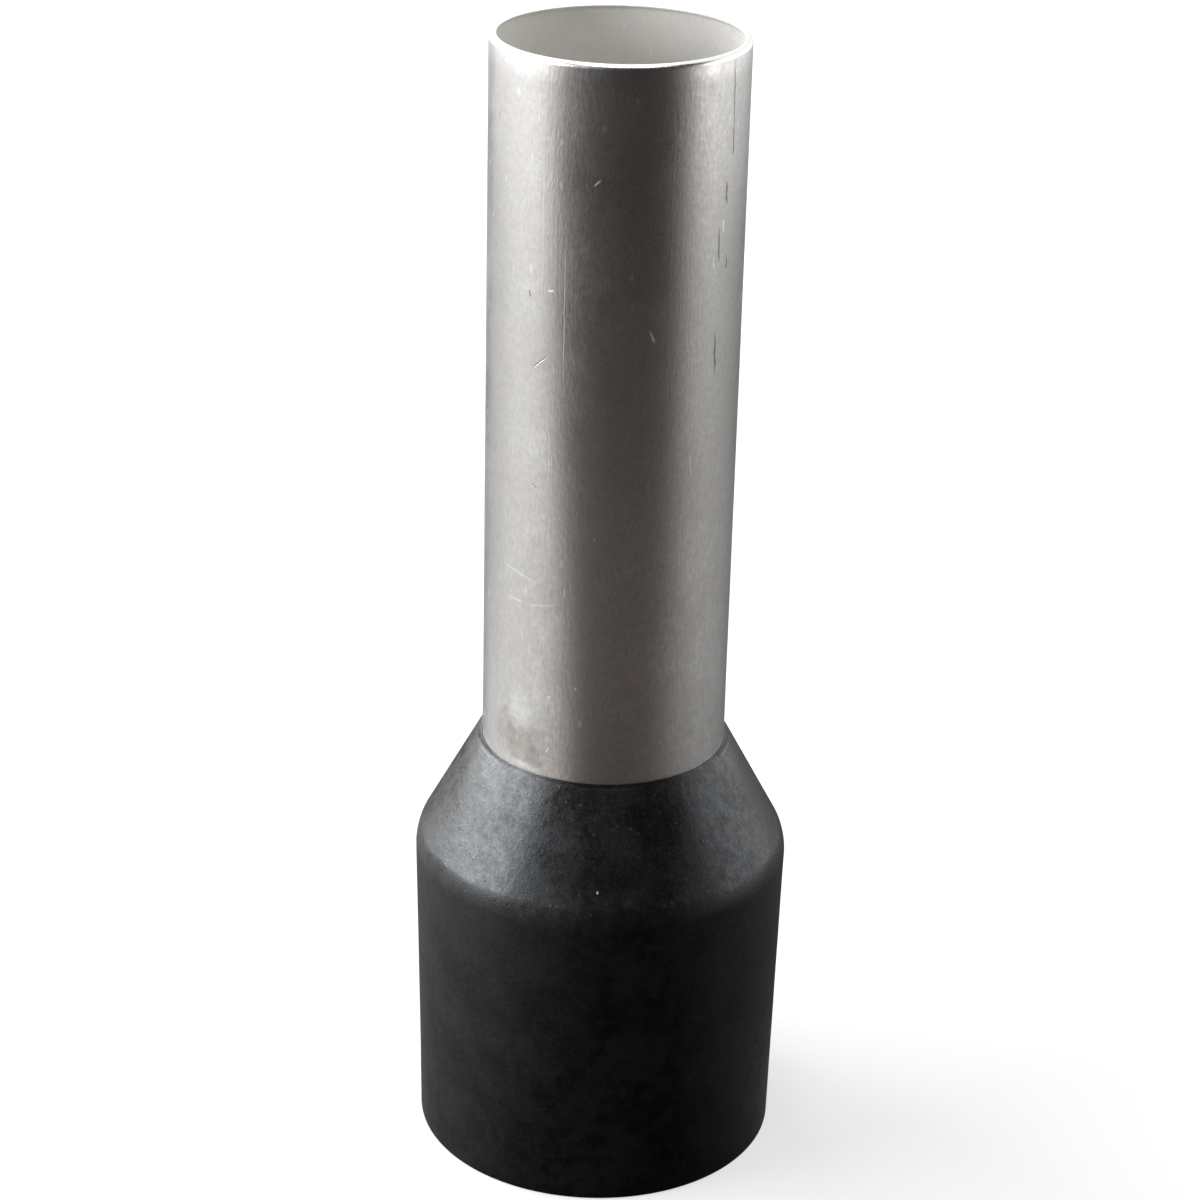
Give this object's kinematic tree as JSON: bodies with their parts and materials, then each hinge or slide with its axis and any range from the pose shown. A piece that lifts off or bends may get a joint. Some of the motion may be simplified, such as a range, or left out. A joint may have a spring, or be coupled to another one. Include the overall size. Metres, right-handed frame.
{
  "type": "wire ferrule",
  "caption": "Insulated wire ferrule: a thin tinned tube that stands out of a black moulded collar, which funnels a stranded conductor into it.",
  "frame": {"origin": "centre of the collar's open mouth, where the ferrule stands", "axes": "+Z along the common axis, from the collar's mouth towards the sleeve's free end"},
  "size_m": [0.012, 0.012, 0.0364],
  "materials": {
    "tinned_copper": "satin tin plating with fine draw lines along the tube",
    "black_plastic": "matte, fine moulded grain"
  },
  "bodies": {
    "root": {"metal_sleeve": "tinned_copper", "insulating_collar": "black_plastic"}
  },
  "joints": []
}
